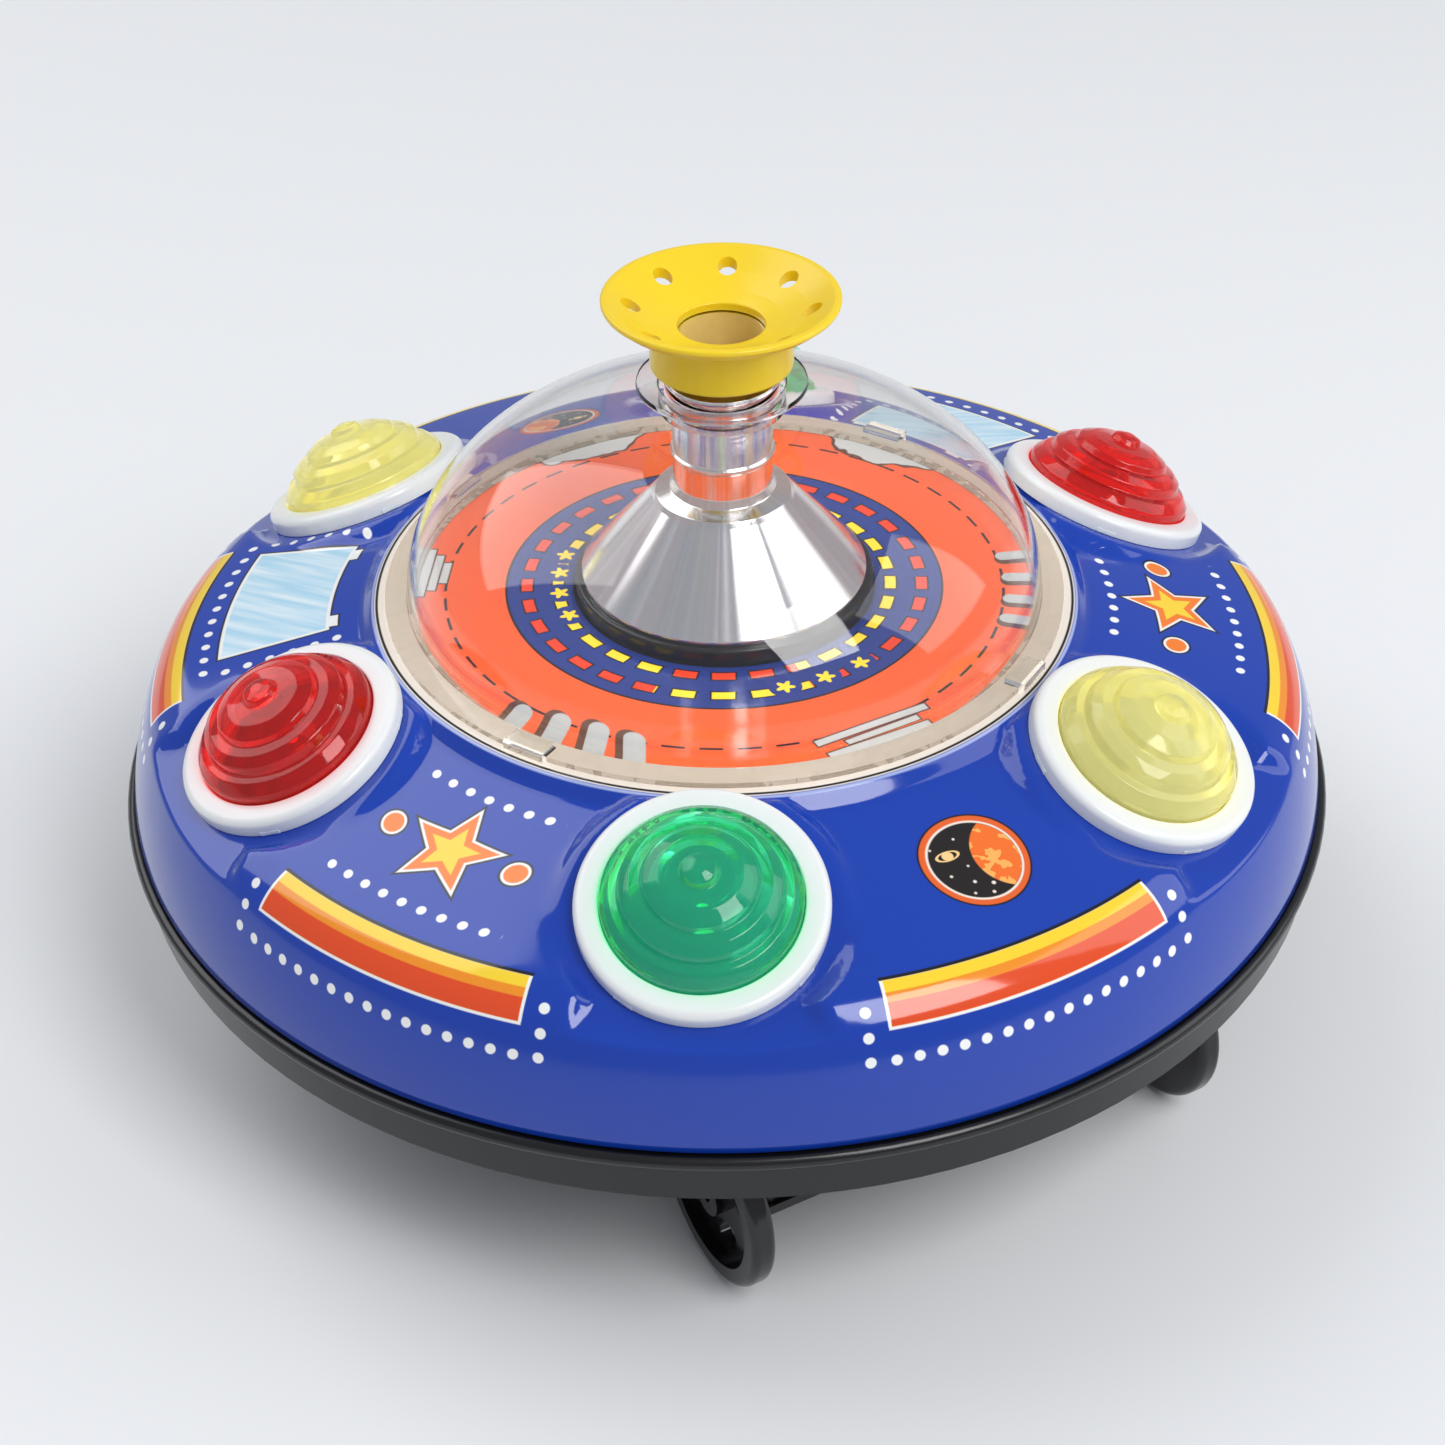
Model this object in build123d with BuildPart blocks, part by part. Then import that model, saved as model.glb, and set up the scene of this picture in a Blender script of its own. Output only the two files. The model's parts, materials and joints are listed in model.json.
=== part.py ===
"""Battery-driven tin flying saucer: lit lamps, a clear dome, an air funnel and bump-and-go wheels.

The frame has +Z up and its origin on the ground, under the saucer's axis. All sizes are in mm.
Lamps are counted counter-clockwise seen from above, starting with the one that faces -Y.
The running gear has its own x and y, turned by HEADING: x runs along the axles, y to the nose.
"""

from build123d import *
from math import atan2, cos, degrees, radians, sin, sqrt
import os

os.makedirs("parts", exist_ok=True)

# ---------------------------------------------------------------- driving dimensions
BEAD_R = 98.9                 # largest radius of the whole toy, at the bead of the base
EDGE_R = 97.5                 # lower edge of the tin shell, and the skirt below it
SKIRT_Z = 31.9                # lower edge of the base skirt above the ground
EDGE_Z = 40.9                 # lower edge of the tin shell
DECK_Z = 70.2                 # flat printed deck under the dome
DECK_R = 56.2                 # edge of that deck
DECK_HOLE_R = 20.4            # fan opening in the deck
TIN = 0.6                     # sheet thickness
LAMPS = 6
LAMP_TILT = 22.5              # lamp axes lean outwards by this many degrees
SEAT_R = 73.34                # centre of a lamp seat: distance from the saucer's axis
SEAT_Z = 63.9                 # and height above the ground
SEAT_FLAT = 19.6              # radius of the flat pad that carries a bezel
LAMP_HOLE_R = 14.8
BEZEL_R = 17.95
BEZEL_H = 3.04
LENS_R = 14.2
HEADING = 31.4                # the tail of the running gear lies this far round from lamp 0
FLOOR_Z = 33.4                # underside of the base floor
FLOOR_T = 1.8
WALL = 1.8                    # plastic wall thickness
BOX_X = 35.5                  # half width of the battery box
BOX_TAIL = 73.5               # tail face of the battery box behind the axis
BOX_NOSE = 16.5               # its front face
BOX_Z = 9.9                   # underside of the battery box
CELL_R = 13.1                 # C size cells
CELL_LENGTH = 49.0
WHEEL_R = 14.75
WHEEL_W = 3.9
WHEEL_X = 40.1                # half the track of the tail wheels
WHEEL_Y = -69.1               # tail axle
AXLE_R = 1.2
FIT = 0.05                    # radial running clearance of every shaft
MODULE = 0.8                  # gear tooth module
PINION_TEETH = 8
COUNTER_TEETH = 40
DRIVE_TEETH = 48
CROWN_TEETH = 20
TURN_Y = 40.0                 # turntable axis, ahead of the saucer's axis
DRIVE_WHEEL_R = 13.0
DRIVE_AXLE_R = 1.5
MOTOR_R = 12.0
SHAFT_R = 1.0
TUBE_R = 7.75                 # outer radius of the air tube
DOME_A = 50.6                 # dome: half width and rise of its elliptical outline
DOME_B = 31.0
DOME_T = 1.0
CLIPS = 4
CLIP_START = -119.6          # where the first dome clip sits, from +X
COLUMNS = [(40.5, -28), (-40.5, -28), (38, 32), (-38, 32)]

FLOOR_TOP = FLOOR_Z + FLOOR_T
BOX_TOP = 41.2
CELL_Z = 26.1
CELL_Y = (-58.3, -31.7)


# ---------------------------------------------------------------- shared helpers
def save(part, name):
    """Label one finished piece and write it under its node name."""
    part.label = name
    export_step(part, f"parts/{name}.step")


chassis = Plane(
    origin=(0, 0, 0),
    x_dir=(cos(radians(HEADING)), sin(radians(HEADING)), 0),
    z_dir=(0, 0, 1),
)


def level(z, x=0.0, y=0.0):
    """Horizontal plane at height z, turned to the running gear, centred at its local (x, y)."""
    origin = chassis.from_local_coords(Vector(x, y, z))
    return Plane(origin=origin, x_dir=chassis.x_dir, z_dir=(0, 0, 1))


def across(x, y, z):
    """Plane through a local point whose normal runs along the axles; its x points to the nose."""
    origin = chassis.from_local_coords(Vector(x, y, z))
    return Plane(origin=origin, x_dir=chassis.y_dir, z_dir=chassis.x_dir)


def lamp_plane(index, lift=0.0):
    """Plane of a lamp seat: its normal is the lamp's axis and its -y points down the slope."""
    turn = radians(index * 360 / LAMPS)
    outward = Vector(sin(turn), -cos(turn), 0)
    normal = outward * sin(radians(LAMP_TILT)) + Vector(0, 0, cos(radians(LAMP_TILT)))
    seat = outward * SEAT_R + Vector(0, 0, SEAT_Z)
    return Plane(origin=seat + normal * lift, x_dir=(cos(turn), sin(turn), 0), z_dir=normal)


def upright(plane):
    """Plane that holds the given plane's normal as its y, for profiles turned about it."""
    return Plane(origin=plane.origin, x_dir=plane.x_dir, z_dir=-plane.y_dir)


def turned(plane, points):
    """Closed profile of (radius, height) points turned once about the plane's normal."""
    with BuildPart() as piece:
        with BuildSketch(upright(plane)):
            with BuildLine():
                Polyline(*points, close=True)
            make_face()
        revolve(axis=Axis(plane.origin, plane.z_dir))
    return piece.part


def tooth(pitch_r):
    """Corner points of one straight-flanked tooth that points along +X, thinned for backlash."""
    inner = pitch_r - 1.2 * MODULE
    outer = pitch_r + 0.75 * MODULE
    root_w = 1.5
    tip_w = 0.42
    return [(inner, -root_w / 2), (outer, -tip_w / 2), (outer, tip_w / 2), (inner, root_w / 2)]


def spur_gear(plane, teeth, thickness, start):
    """Spur gear that stands on a plane, its first tooth turned start degrees from X."""
    pitch_r = MODULE * teeth / 2
    with BuildPart() as gear:
        with BuildSketch(plane):
            Circle(pitch_r - 1.1 * MODULE)
            with PolarLocations(0, teeth, start_angle=start):
                Polygon(*tooth(pitch_r), align=None)
        extrude(amount=thickness)
    return gear.part


# ---------------------------------------------------------------- tin shell
def shell_form(inset):
    """Solid bounded by the shell's outer face moved inwards by inset, flat at the bottom.

    Each lamp sits on a flat pad that stands proud of the panel on its inner side and is sunk
    into the shoulder on its outer side, where the recess is open.
    """
    top = DECK_Z - inset
    bottom = EDGE_Z - inset
    edge = (EDGE_R - inset, EDGE_Z)
    panel_in = (DECK_R + 2.2 - inset / 2, top - 2.4)
    panel_out = (86.5 - inset / 3, EDGE_Z + 20.2 - inset)
    shoulder = (93.6 - inset, EDGE_Z + 14.3 - inset / 2)
    pads = []
    recesses = []
    for lamp in range(LAMPS):
        plane = lamp_plane(lamp, -inset)
        pad_r = SEAT_FLAT - inset / 2
        pads.append(turned(plane, [(0, 0), (pad_r, 0), (pad_r + 3.6, -4.3), (0, -4.3)]))
        cut_r = SEAT_FLAT + 0.7 + inset / 2
        with BuildPart() as recess:
            add(turned(plane, [(0, 0), (cut_r, 0), (cut_r + 5.7, 8), (0, 8)]))
            with BuildSketch(plane):
                with Locations((0, -18)):
                    Rectangle(22 + inset, 20)
            extrude(amount=8)
        recesses.append(recess.part)
    with BuildPart() as form:
        with BuildSketch(Plane.XZ):
            with BuildLine():
                Polyline((0, bottom), (0, top), (DECK_R - inset / 2, top), panel_in)
                panel = Line(panel_in, panel_out)
                bend = TangentArc(panel_out, shoulder, tangent=panel % 1)
                side = TangentArc(shoulder, edge, tangent=bend % 1)
                Polyline(side @ 1, (EDGE_R - inset, bottom), (0, bottom))
            make_face()
        revolve(axis=Axis.Z)
        add(pads)
        add(recesses, mode=Mode.SUBTRACT)
        with BuildSketch(Plane.XY.offset(top)):
            Circle(DECK_R + inset)
        extrude(amount=5, mode=Mode.SUBTRACT)
    return form.part


outer_form = shell_form(0)
inner_form = shell_form(TIN)
with BuildPart() as tin_shell:
    add(outer_form)
    add(inner_form, mode=Mode.SUBTRACT)
    for lamp in range(LAMPS):
        with BuildSketch(lamp_plane(lamp, 2)):
            Circle(LAMP_HOLE_R)
        extrude(amount=-8, mode=Mode.SUBTRACT)
    with BuildSketch(Plane.XY.offset(DECK_Z + 1)):
        Circle(DECK_HOLE_R)
    extrude(amount=-3, mode=Mode.SUBTRACT)
    with BuildSketch(Plane.XY.offset(DECK_Z + 1)):
        with PolarLocations(54.85, CLIPS, start_angle=CLIP_START):
            Rectangle(1.6, 7.6)
    extrude(amount=-3, mode=Mode.SUBTRACT)
save(tin_shell.part, "tin_shell")


# ---------------------------------------------------------------- lamps
def bezel(index):
    """White ring that traps a lens; four snap notches are cut in its lower edge."""
    plane = lamp_plane(index)
    with BuildPart() as ring:
        add(turned(plane, [
            (LENS_R + 0.2, 1.1), (LENS_R + 0.2, BEZEL_H), (BEZEL_R, BEZEL_H),
            (BEZEL_R, 0), (16.0, 0), (16.0, 1.1),
        ]))
        rims = ring.edges().filter_by(GeomType.CIRCLE).group_by(SortBy.RADIUS)[-1]
        fillet(rims.sort_by(Axis(plane.origin, plane.z_dir))[-1], 1.1)
        with BuildSketch(plane):
            with PolarLocations(BEZEL_R - 0.3, 4, start_angle=35):
                Rectangle(1.6, 3.8)
        extrude(amount=0.7, mode=Mode.SUBTRACT)
    return ring.part


def lens(index):
    """Stepped hollow lens with a nipple tip; its flange lies under the bezel."""
    plane = lamp_plane(index)
    top = BEZEL_H
    outline = [
        (15.8, 0), (15.8, 1.0), (LENS_R, 1.0), (LENS_R, top + 1.3), (13.7, top + 2.3), (12.7, top + 3.0),
        (11.9, top + 3.2), (11.6, top + 4.4), (10.9, top + 5.2), (9.6, top + 5.7), (8.6, top + 5.9),
        (8.2, top + 6.7), (7.2, top + 7.4), (5.2, top + 7.9), (2.9, top + 8.2), (2.3, top + 8.4),
        (2.0, top + 9.1), (1.2, top + 9.6), (0, top + 9.7),
        (0, top + 6.9), (5.0, top + 6.4), (8.0, top + 4.6), (11.0, top + 2.2), (13.0, top - 0.2), (13.0, 0),
    ]
    return turned(plane, outline)


def reflector(index):
    """Moulded cup behind a lens with the bulb's socket at its bottom."""
    outline = [
        (14.5, 0), (14.5, -1.5), (6.5, -9.0), (4.2, -9.0), (4.2, -15.0), (2.6, -15.0), (2.6, -8.0),
        (5.8, -8.0), (13.3, -1.0), (13.3, 0),
    ]
    return turned(lamp_plane(index), outline)


def bulb(index):
    """Miniature bulb: brass screw cap in the socket and a round glass above it."""
    outline = [
        (0, -14.5), (1.4, -14.5), (2.5, -13.5), (2.5, -6.6), (2.9, -6.0), (2.9, -2.6), (2.4, -1.0),
        (1.4, -0.1), (0, 0.2),
    ]
    return turned(lamp_plane(index), outline)


LENS_COLOURS = ("green", "yellow", "red", "green", "yellow", "red")
for lamp in range(LAMPS):
    number = lamp + 1
    save(bezel(lamp), f"bezel_{number}")
    save(lens(lamp), f"lens_{number}_{LENS_COLOURS[lamp]}")
    save(reflector(lamp), f"reflector_{number}")
    save(bulb(lamp), f"bulb_{number}")


# ---------------------------------------------------------------- dome, tower and funnel
DOME_Z = DECK_Z + 1.7
FLANGE_R = 54.2
NECK_R = 9.65
NECK_BORE = 8.85
with BuildPart() as clear_dome:
    with BuildSketch(Plane.XZ):
        with BuildLine():
            outer = EllipticalCenterArc((0, DOME_Z), DOME_A, DOME_B, 0, arc_size=78.9)
            inner = EllipticalCenterArc((0, DOME_Z), DOME_A - DOME_T, DOME_B - DOME_T, 0, arc_size=79.7)
            Polyline(
                outer @ 0, (DOME_A, DECK_Z + 1.1), (FLANGE_R, DECK_Z + 1.1), (FLANGE_R, DECK_Z),
                (DOME_A - DOME_T, DECK_Z), inner @ 0,
            )
            Polyline(
                outer @ 1, (NECK_R, 105.9), (13.2, 105.9), (13.2, 107.0), (NECK_BORE, 107.0), inner @ 1,
            )
        make_face()
    revolve(axis=Axis.Z)
save(clear_dome.part, "clear_dome")

with BuildPart() as dome_clips:
    with BuildSketch(Plane.XY.offset(DECK_Z + 1.1)):
        with PolarLocations(53.6, CLIPS, start_angle=CLIP_START):
            Rectangle(3.4, 7.0)
    extrude(amount=1.0)
    with BuildSketch(Plane.XY.offset(DECK_Z - 3.4)):
        with PolarLocations(54.8, CLIPS, start_angle=CLIP_START):
            Rectangle(1.0, 7.0)
    extrude(amount=5.5)
save(dome_clips.part, "dome_clips")

with BuildPart() as tower_foot_ring:
    with BuildSketch(Plane.XY.offset(DECK_Z)):
        Circle(23.8)
        Circle(DECK_HOLE_R + 0.2, mode=Mode.SUBTRACT)
    extrude(amount=2.7)
    fillet(tower_foot_ring.edges().group_by(Axis.Z)[-1].sort_by(SortBy.LENGTH)[-1], 0.6)
save(tower_foot_ring.part, "tower_foot_ring")

TOWER_FOOT = DECK_Z + 2.7
TUBE_BORE = 6.2
with BuildPart() as chrome_tower:
    with BuildSketch(Plane.XZ):
        with BuildLine():
            Polyline(
                (20.6, TOWER_FOOT), (22.7, TOWER_FOOT), (22.7, TOWER_FOOT + 0.8), (11.0, 86.8),
                (10.6, 87.4), (9.2, 88.0), (TUBE_R + 0.3, 88.6), (TUBE_R, 89.6), (TUBE_R, 94.0),
                (TUBE_R + 0.35, 94.2), (TUBE_R + 0.35, 94.8), (TUBE_R, 95.0), (TUBE_R, 102.6), (8.0, 103.4),
                (8.6, 106.8), (8.6, 107.4), (TUBE_R, 108.0), (TUBE_R, 114.8), (TUBE_BORE, 114.8),
                (TUBE_BORE, 90.0), (20.6, TOWER_FOOT + 1.4), (20.6, TOWER_FOOT),
            )
        make_face()
    revolve(axis=Axis.Z)
save(chrome_tower.part, "chrome_tower")

FUNNEL_R = 18.05
FUNNEL_TOP = 120.9
COLLAR_R = 10.94
COLLAR_Z = 109.4
THROAT_R = 6.65
with BuildPart() as funnel:
    with BuildSketch(Plane.XZ):
        with BuildLine():
            Polyline(
                (9.6, COLLAR_Z), (COLLAR_R - 0.8, COLLAR_Z), (COLLAR_R, COLLAR_Z + 0.8), (COLLAR_R, 116.4),
                (13.5, 117.3), (16.4, 118.8), (FUNNEL_R - 0.3, 120.1),
            )
            ThreePointArc((FUNNEL_R - 0.3, 120.1), (FUNNEL_R, 120.6), (FUNNEL_R - 0.7, FUNNEL_TOP))
            Polyline(
                (FUNNEL_R - 0.7, FUNNEL_TOP), (16.0, 120.4), (13.0, 118.7), (9.6, 117.2), (THROAT_R, 116.2),
                (THROAT_R, 115.0), (9.6, 115.0), (9.6, COLLAR_Z),
            )
        make_face()
    revolve(axis=Axis.Z)
    with BuildSketch(Plane.XY.offset(FUNNEL_TOP + 1)):
        with PolarLocations(13.6, 8, start_angle=-4.5):
            Circle(1.5)
    extrude(amount=-6, mode=Mode.SUBTRACT)
save(funnel.part, "funnel")


# ---------------------------------------------------------------- base pan
BOX_MID = -(BOX_TAIL + BOX_NOSE) / 2
BOX_LENGTH = BOX_TAIL - BOX_NOSE
FLOOR_HOLE_R = 18.0
PARTITION_X = 27.4
with BuildPart() as base_pan:
    with BuildSketch(Plane.XZ):
        with BuildLine():
            Line((EDGE_R, SKIRT_Z), (EDGE_R, 38.2))
            ThreePointArc((EDGE_R, 38.2), (BEAD_R, 39.3), (EDGE_R, 40.4))
            Polyline(
                (EDGE_R, 40.4), (95.9, 40.4), (95.9, 43.4), (94.3, 43.4), (94.3, FLOOR_TOP),
                (0, FLOOR_TOP), (0, FLOOR_Z), (95.4, FLOOR_Z), (95.7, SKIRT_Z), (EDGE_R, SKIRT_Z),
            )
        make_face()
    revolve(axis=Axis.Z)
    with BuildSketch(level(BOX_Z, 0, BOX_MID)):
        RectangleRounded(2 * BOX_X, BOX_LENGTH, 2.5)
    extrude(amount=BOX_TOP - BOX_Z)
    for side in (-1, 1):
        with BuildSketch(across(side * (BOX_X - 0.5), WHEEL_Y, WHEEL_R)):
            Circle(3.2)
        extrude(amount=side * 2.9)
    with BuildSketch(level(BOX_Z, 0, BOX_MID)):
        Rectangle(2 * (BOX_X - WALL), BOX_LENGTH - 2 * WALL)
    extrude(amount=BOX_TOP - BOX_Z - WALL, mode=Mode.SUBTRACT)
    with BuildSketch(level(10.6, 0, BOX_MID - 1)):
        Rectangle(2 * (BOX_X - 0.6), BOX_LENGTH - 0.2)
    extrude(amount=2.1, mode=Mode.SUBTRACT)
    with BuildSketch(level(BOX_Z, 0, -BOX_TAIL)):
        Rectangle(2 * (BOX_X - WALL), 8)
    extrude(amount=2.8, mode=Mode.SUBTRACT)
    for side in (-1, 1):
        with BuildSketch(level(12.9, side * PARTITION_X, BOX_MID + 1.4)):
            Rectangle(1.4, BOX_LENGTH - 2 * WALL - 2.8)
        extrude(amount=BOX_TOP - 12.9 - WALL)
    with BuildSketch(across(-WHEEL_X, WHEEL_Y, WHEEL_R)):
        Circle(AXLE_R + FIT)
    extrude(amount=2 * WHEEL_X, mode=Mode.SUBTRACT)
    with BuildSketch(level(FLOOR_Z, 0, TURN_Y)):
        Circle(FLOOR_HOLE_R)
    extrude(amount=FLOOR_T, mode=Mode.SUBTRACT)
    with BuildSketch(level(FLOOR_Z)):
        with Locations(*COLUMNS):
            Circle(1.6)
    extrude(amount=FLOOR_T, mode=Mode.SUBTRACT)
    with BuildSketch(level(FLOOR_Z, -60, 8)):
        Rectangle(4.4, 11.4)
    extrude(amount=FLOOR_T, mode=Mode.SUBTRACT)

# counter gear position: in mesh with the motor pinion and with the drive gear
MESH_IN = MODULE * (PINION_TEETH + COUNTER_TEETH) / 2
MESH_OUT = MODULE * (PINION_TEETH + DRIVE_TEETH) / 2
COUNTER_Y = (MESH_IN**2 - MESH_OUT**2 + TURN_Y**2) / (2 * TURN_Y)
COUNTER_X = sqrt(MESH_IN**2 - COUNTER_Y**2)
with BuildPart() as base_with_boss:
    add(base_pan.part)
    with BuildSketch(level(FLOOR_TOP, COUNTER_X, COUNTER_Y)):
        Circle(2.5)
        Circle(AXLE_R + FIT, mode=Mode.SUBTRACT)
    extrude(amount=2.0)
save(base_with_boss.part, "base_pan")

with BuildPart() as battery_door:
    with BuildSketch(level(10.8, 0, BOX_MID - 0.9)):
        Rectangle(2 * (BOX_X - 0.8), BOX_LENGTH - 0.4)
    extrude(amount=1.7)
    with BuildSketch(level(10.0, 0, -BOX_TAIL + 8)):
        with GridLocations(0, 3, 1, 3):
            Rectangle(26, 1.2)
    extrude(amount=0.8)
save(battery_door.part, "battery_door")


# ---------------------------------------------------------------- batteries and contacts
def cell(y, way):
    """One cell lying along the axles; way is the side its positive cap points to."""
    body = CELL_LENGTH - 1.7
    start = 26.2 - CELL_LENGTH
    with BuildPart() as can:
        with BuildSketch(across(way * start, y, CELL_Z)):
            Circle(CELL_R)
        extrude(amount=way * body)
        chamfer(can.edges().filter_by(GeomType.CIRCLE), 0.6)
        with BuildSketch(across(way * (start + body), y, CELL_Z)):
            Circle(3.2)
        extrude(amount=way * 1.7)
    return can.part


def contact_spring(y, way):
    """Coil that presses on the flat end of a cell."""
    foot = across(way * -25.8, y, CELL_Z)
    with BuildPart() as coil:
        with BuildLine():
            path = Helix(pitch=1.0, height=2.5, radius=4.5, center=foot.origin, direction=foot.z_dir * way)
        with BuildSketch(Plane(origin=path @ 0, z_dir=path % 0)):
            Circle(0.3)
        sweep(path=path)
    return coil.part


save(cell(CELL_Y[0], 1), "cell_1")
save(cell(CELL_Y[1], -1), "cell_2")
with BuildPart() as contact_springs:
    add([contact_spring(CELL_Y[0], 1), contact_spring(CELL_Y[1], -1)])
save(contact_springs.part, "contact_springs")
with BuildPart() as contact_plates:
    for side in (-1, 1):
        with BuildSketch(across(side * 26.45, -45, CELL_Z)):
            with Locations((CELL_Y[0] + 45, 0), (CELL_Y[1] + 45, 0)):
                Rectangle(14, 16)
        extrude(amount=side * 0.25)
save(contact_plates.part, "contact_plates")

# ---------------------------------------------------------------- tail wheels
with BuildPart() as tail_axle:
    with BuildSketch(across(-WHEEL_X - 0.6, WHEEL_Y, WHEEL_R)):
        Circle(AXLE_R)
    extrude(amount=2 * WHEEL_X + 1.2)
save(tail_axle.part, "tail_axle")


def tail_wheel(side):
    """Disc wheel with a rounded tread, a dished face and four windows round its hub."""
    middle = across(side * WHEEL_X, WHEEL_Y, WHEEL_R)
    plane = Plane(origin=middle.origin, x_dir=middle.x_dir, z_dir=middle.z_dir * side)
    half = WHEEL_W / 2
    with BuildPart() as wheel:
        with BuildSketch(plane.offset(-half)):
            Circle(WHEEL_R)
        extrude(amount=WHEEL_W)
        fillet(wheel.edges().filter_by(GeomType.CIRCLE), 1.2)
        with BuildSketch(plane.offset(half - 2.2)):
            Circle(11.6)
            Circle(3.4, mode=Mode.SUBTRACT)
        extrude(amount=4, mode=Mode.SUBTRACT)
        with BuildSketch(plane.offset(-half)):
            with PolarLocations(0, 4, start_angle=20):
                with Locations((7.6, 0)):
                    Ellipse(2.2, 2.8)
        extrude(amount=WHEEL_W, mode=Mode.SUBTRACT)
        with BuildSketch(plane.offset(-half)):
            Circle(AXLE_R)
        extrude(amount=WHEEL_W, mode=Mode.SUBTRACT)
    return wheel.part


save(tail_wheel(-1), "tail_wheel_left")
save(tail_wheel(1), "tail_wheel_right")

# ---------------------------------------------------------------- turntable and drive axle
CHEEK_X = 9.0
with BuildPart() as turntable:
    with BuildSketch(level(30.4, 0, TURN_Y)):
        Circle(24)
    extrude(amount=2.5)
    with BuildSketch(level(32.9, 0, TURN_Y)):
        Circle(FLOOR_HOLE_R - 0.4)
    extrude(amount=2.8)
    with BuildSketch(level(30.4, 0, TURN_Y)):
        with Locations((-CHEEK_X, 0), (CHEEK_X, 0)):
            Rectangle(2.0, 9.0)
    extrude(amount=-21.4)
    with BuildSketch(across(-12, TURN_Y, DRIVE_WHEEL_R)):
        Circle(DRIVE_AXLE_R + FIT)
    extrude(amount=24, mode=Mode.SUBTRACT)
    with BuildSketch(level(30, 0, TURN_Y)):
        Circle(DRIVE_AXLE_R + FIT)
    extrude(amount=6, mode=Mode.SUBTRACT)
save(turntable.part, "turntable")

with BuildPart() as turntable_cap:
    with BuildSketch(level(35.7, 0, TURN_Y)):
        Circle(19.3)
        Circle(4.0, mode=Mode.SUBTRACT)
    extrude(amount=1.2)
save(turntable_cap.part, "turntable_cap")

with BuildPart() as drive_axle:
    with BuildSketch(across(-17, TURN_Y, DRIVE_WHEEL_R)):
        Circle(DRIVE_AXLE_R)
    extrude(amount=34)
save(drive_axle.part, "drive_axle")

TYRE_R = 11.0
for side, name in ((-1, "left"), (1, "right")):
    with BuildPart() as drive_wheel:
        with BuildSketch(across(side * 12, TURN_Y, DRIVE_WHEEL_R)):
            Circle(TYRE_R)
            Circle(DRIVE_AXLE_R, mode=Mode.SUBTRACT)
        extrude(amount=side * 5)
        with BuildSketch(across(side * 15.4, TURN_Y, DRIVE_WHEEL_R)):
            Circle(9)
            Circle(3.4, mode=Mode.SUBTRACT)
        extrude(amount=side * 1.6, mode=Mode.SUBTRACT)
    save(drive_wheel.part, f"drive_wheel_{name}")
    with BuildPart() as drive_tyre:
        with BuildSketch(across(side * 12, TURN_Y, DRIVE_WHEEL_R)):
            Circle(DRIVE_WHEEL_R)
            Circle(TYRE_R, mode=Mode.SUBTRACT)
        extrude(amount=side * 5)
        fillet(drive_tyre.edges().filter_by(GeomType.CIRCLE).group_by(SortBy.RADIUS)[-1], 0.8)
    save(drive_tyre.part, f"drive_tyre_{name}")

CROWN_R = MODULE * CROWN_TEETH / 2
CROWN_FACE = 5.4               # its tooth tips stand 0.1 clear of the drive pinion
with BuildPart() as crown_gear:
    with BuildSketch(across(CROWN_FACE, TURN_Y, DRIVE_WHEEL_R)):
        Circle(CROWN_R + 1.2)
        Circle(DRIVE_AXLE_R, mode=Mode.SUBTRACT)
    extrude(amount=1.9)
    with BuildSketch(across(CROWN_FACE, TURN_Y, DRIVE_WHEEL_R)):
        with PolarLocations(CROWN_R, CROWN_TEETH, start_angle=90):
            Rectangle(2.2, 1.2)
    extrude(amount=-1.5, taper=8)
save(crown_gear.part, "crown_gear")

# ---------------------------------------------------------------- gear train
DRIVE_SHAFT_R = DRIVE_AXLE_R
with BuildPart() as drive_gear:
    with BuildSketch(level(19.6, 0, TURN_Y)):
        Circle(DRIVE_SHAFT_R)
    extrude(amount=26.4)
    add(spur_gear(level(19.6, 0, TURN_Y), PINION_TEETH, 3.0, 22.5))
    to_drive = degrees(atan2(TURN_Y - COUNTER_Y, -COUNTER_X))
    add(spur_gear(level(41.0, 0, TURN_Y), DRIVE_TEETH, 2.4, to_drive + 180 + 180 / DRIVE_TEETH))
save(drive_gear.part, "drive_gear")

to_counter = degrees(atan2(COUNTER_Y, COUNTER_X))
with BuildPart() as counter_gear:
    with BuildSketch(level(35.4, COUNTER_X, COUNTER_Y)):
        Circle(AXLE_R)
    extrude(amount=10.6)
    wheel_start = to_counter + 180 + 180 / COUNTER_TEETH
    add(spur_gear(level(37.7, COUNTER_X, COUNTER_Y), COUNTER_TEETH, 2.4, wheel_start))
    add(spur_gear(level(40.1, COUNTER_X, COUNTER_Y), PINION_TEETH, 3.9, to_drive))
save(counter_gear.part, "counter_gear")

POSTS = [(-27, TURN_Y - 11), (27, TURN_Y - 11), (-27, TURN_Y + 11), (27, TURN_Y + 11)]
with BuildPart() as gear_plate:
    with BuildSketch(level(44.6, 0, TURN_Y - 5)):
        RectangleRounded(62, 40, 3)
    extrude(amount=1.8)
    with BuildSketch(level(FLOOR_TOP)):
        with Locations(*POSTS):
            Circle(2.6)
    extrude(amount=44.6 - FLOOR_TOP)
    with BuildSketch(level(40)):
        with Locations(*POSTS):
            Circle(1.0)
    extrude(amount=8, mode=Mode.SUBTRACT)
    with BuildSketch(level(44, COUNTER_X, COUNTER_Y)):
        Circle(AXLE_R + FIT)
    extrude(amount=4, mode=Mode.SUBTRACT)
    with BuildSketch(level(44, 0, TURN_Y)):
        Circle(DRIVE_SHAFT_R + FIT)
    extrude(amount=4, mode=Mode.SUBTRACT)
save(gear_plate.part, "gear_plate")

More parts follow.
